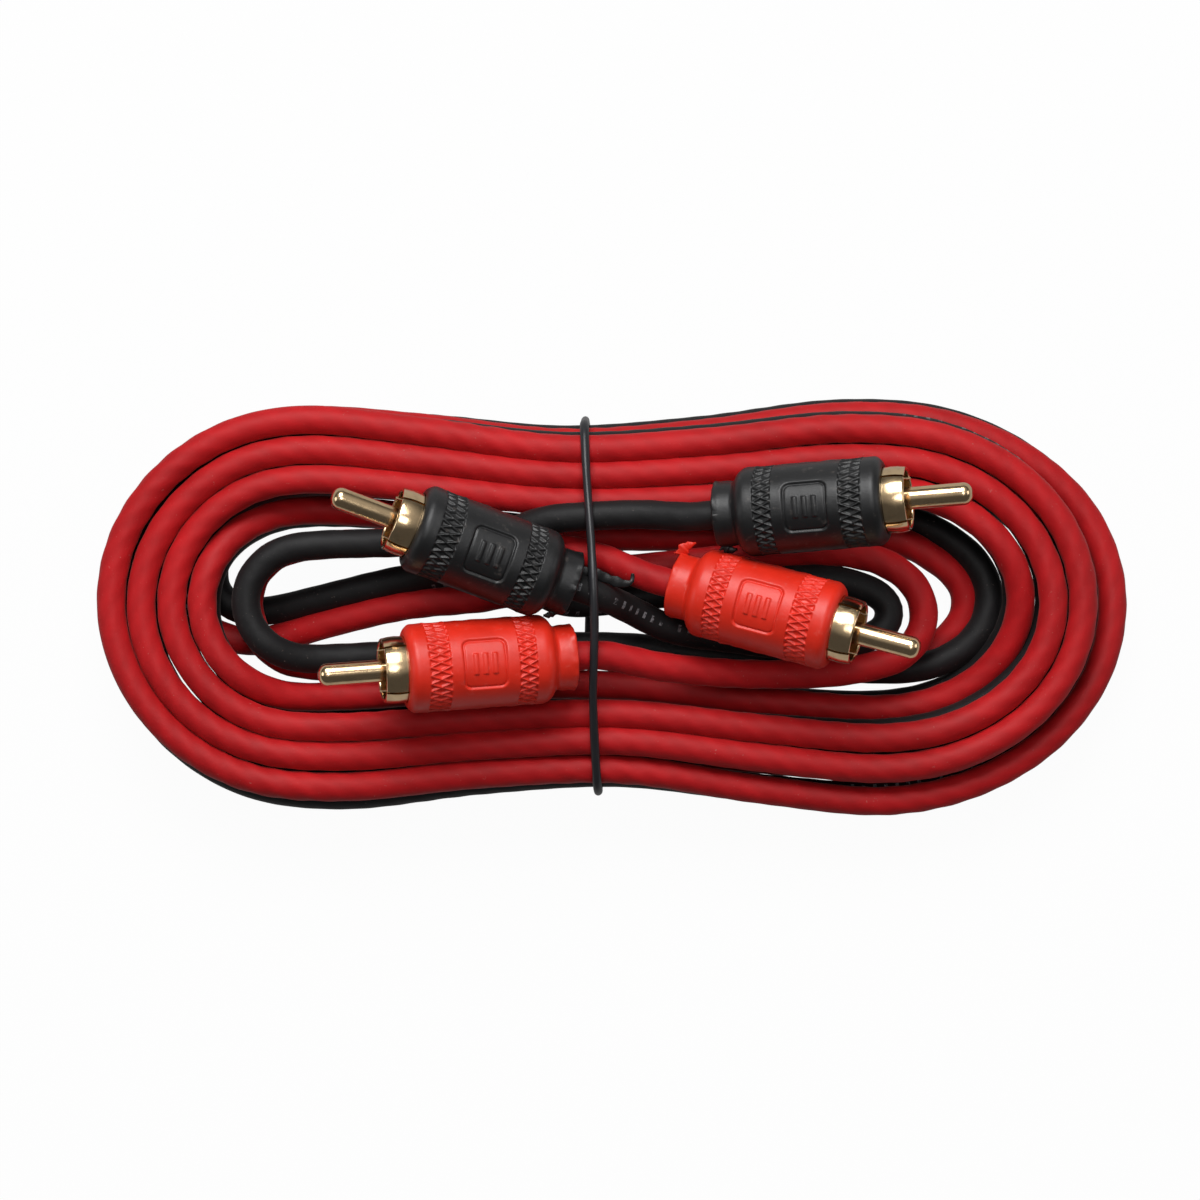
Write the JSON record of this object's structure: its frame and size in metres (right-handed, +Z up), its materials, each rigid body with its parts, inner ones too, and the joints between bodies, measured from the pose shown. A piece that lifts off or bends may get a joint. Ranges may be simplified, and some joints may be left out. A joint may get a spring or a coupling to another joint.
{
  "type": "twin phono patch lead, coiled and tied",
  "caption": "Bonded red and black twin phono patch lead, hanked flat, drawn in by a wire tie, with moulded gold-plated plugs at both ends.",
  "frame": {"origin": "centre of the hank's footprint on the surface it rests on", "axes": "+X along the hank, towards the right-hand pair of plugs; +Y across it, towards the back; +Z up from the surface"},
  "size_m": [0.1461, 0.0583, 0.0332],
  "materials": {
    "red_jacket": "matte PVC",
    "black_jacket": "matte PVC",
    "red_moulding": "satin PVC",
    "black_moulding": "satin PVC",
    "gold_plate": "gold plated, polished",
    "insulator": "satin",
    "inner_mould": "matte",
    "dielectric": "matte foam",
    "copper": "bare copper",
    "tie_coat": "satin PVC",
    "tie_wire": "bare"
  },
  "bodies": {
    "root": {"red_hank": "red_jacket", "black_hank": "black_jacket", "red_lead_left": "red_jacket", "black_lead_left": "black_jacket", "red_lead_right": "red_jacket", "black_lead_right": "black_jacket", "tie_coat": "tie_coat", "tie_wire": "tie_wire", "red_left_body": "red_moulding", "red_left_shell": "gold_plate", "red_left_insulator": "insulator", "red_left_pin": "gold_plate", "red_left_mould": "inner_mould", "red_left_jacket_end": "red_jacket", "red_left_dielectric": "dielectric", "red_left_conductor": "copper", "red_left_pigtail": "copper", "black_left_body": "black_moulding", "black_left_shell": "gold_plate", "black_left_insulator": "insulator", "black_left_pin": "gold_plate", "black_left_mould": "inner_mould", "black_left_jacket_end": "black_jacket", "black_left_dielectric": "dielectric", "black_left_conductor": "copper", "black_left_pigtail": "copper", "red_right_body": "red_moulding", "red_right_shell": "gold_plate", "red_right_insulator": "insulator", "red_right_pin": "gold_plate", "red_right_mould": "inner_mould", "red_right_jacket_end": "red_jacket", "red_right_dielectric": "dielectric", "red_right_conductor": "copper", "red_right_pigtail": "copper", "black_right_body": "black_moulding", "black_right_shell": "gold_plate", "black_right_insulator": "insulator", "black_right_pin": "gold_plate", "black_right_mould": "inner_mould", "black_right_jacket_end": "black_jacket", "black_right_dielectric": "dielectric", "black_right_conductor": "copper", "black_right_pigtail": "copper"}
  },
  "joints": []
}
